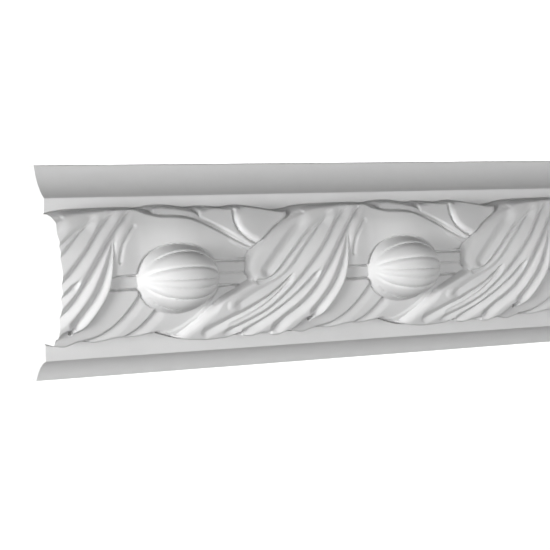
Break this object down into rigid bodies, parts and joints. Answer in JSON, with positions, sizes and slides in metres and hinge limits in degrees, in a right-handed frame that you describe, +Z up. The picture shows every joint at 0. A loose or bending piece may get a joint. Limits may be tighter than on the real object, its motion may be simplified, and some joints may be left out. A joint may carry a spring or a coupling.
{
  "type": "carved wall moulding",
  "caption": "Straight wall moulding cut square at both ends, its swelling middle band carved with acanthus leaves and ribbed beads between coved edges; flat pads and a channel behind.",
  "frame": {"origin": "on the wall face of the moulding, halfway along it, at the middle of the lower glue pad", "axes": "+X along the run, to the right as it hangs; +Y out of the back, into the wall; +Z up"},
  "size_m": [0.375, 0.065, 0.12],
  "materials": {
    "white_foam": "matte white factory primer over rigid polyurethane foam"
  },
  "bodies": {
    "root": {"carved_moulding": "white_foam"}
  },
  "joints": []
}
